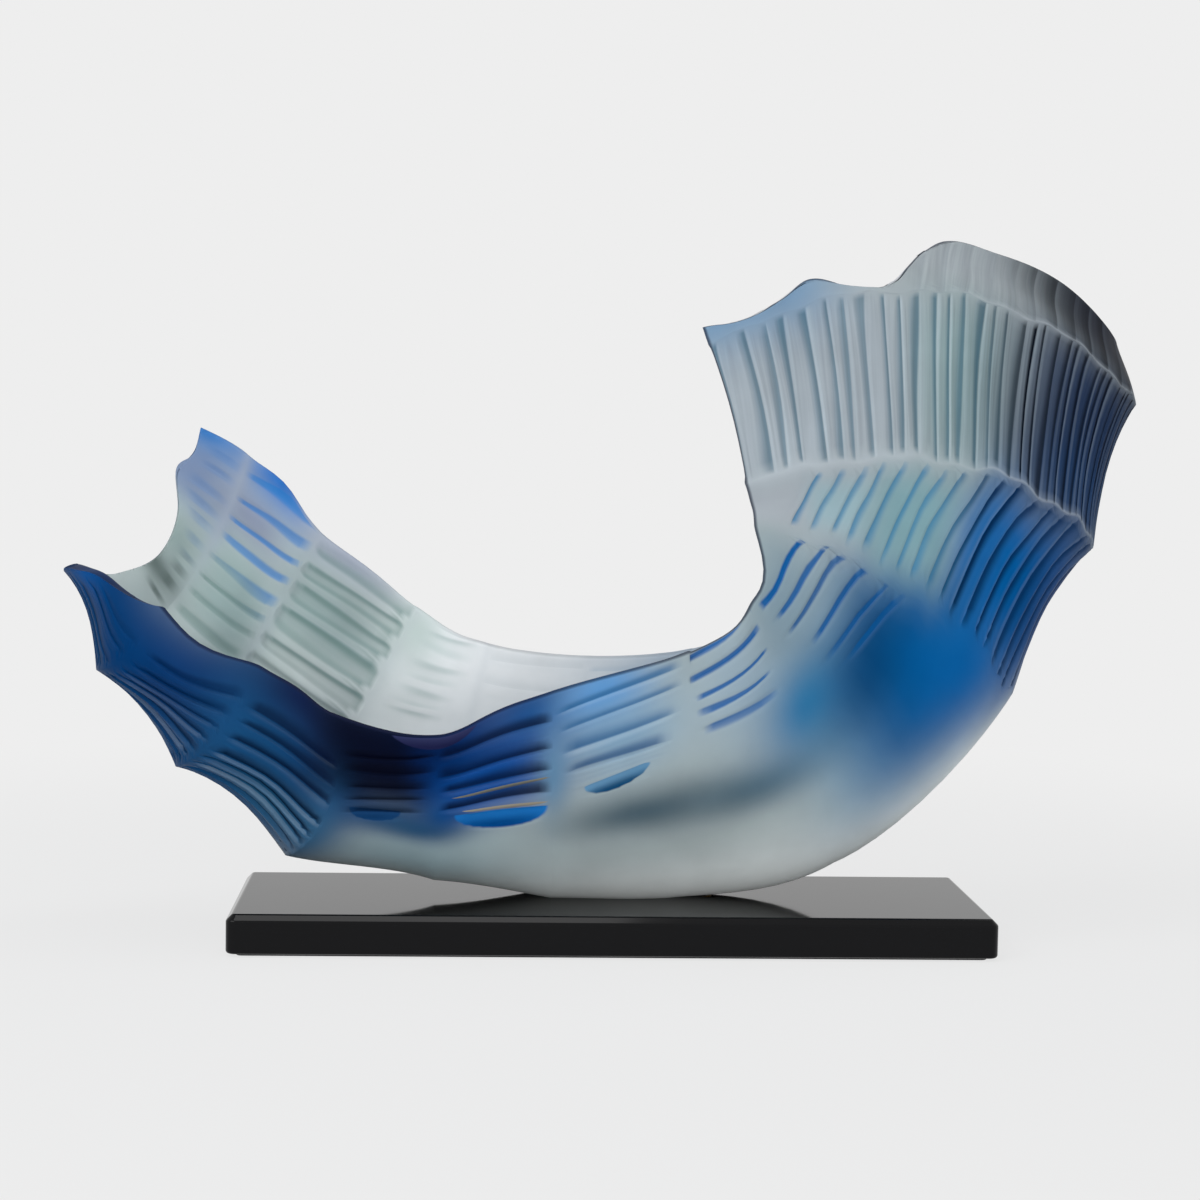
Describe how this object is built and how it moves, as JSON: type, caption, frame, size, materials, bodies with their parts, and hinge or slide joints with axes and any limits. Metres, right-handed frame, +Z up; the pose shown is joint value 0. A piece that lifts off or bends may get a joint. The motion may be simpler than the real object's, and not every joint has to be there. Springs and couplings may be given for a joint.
{
  "type": "abstract resin sculpture",
  "caption": "Long curved shell of frosted tinted resin with scalloped ridges and fluted bays, rising to a tall fin at one end, screwed down on a polished black plinth.",
  "frame": {"origin": "middle of the felt's underside, on the surface it stands on", "axes": "+Z up, +X along the plinth towards the tall fin, +Y from the low front wall towards the back wall"},
  "size_m": [0.5568, 0.1503, 0.3635],
  "materials": {
    "tinted_resin": "frosted satin, translucent, blue to pale grey",
    "black_acrylic": "polished",
    "black_felt": "matte felt",
    "brass": "machined",
    "steel": "plated"
  },
  "bodies": {
    "root": {"resin_shell": "tinted_resin", "plinth": "black_acrylic", "felt_pad": "black_felt", "insert_left": "brass", "insert_right": "brass", "screw_left": "steel", "screw_right": "steel", "washer_left": "steel", "washer_right": "steel"}
  },
  "joints": []
}
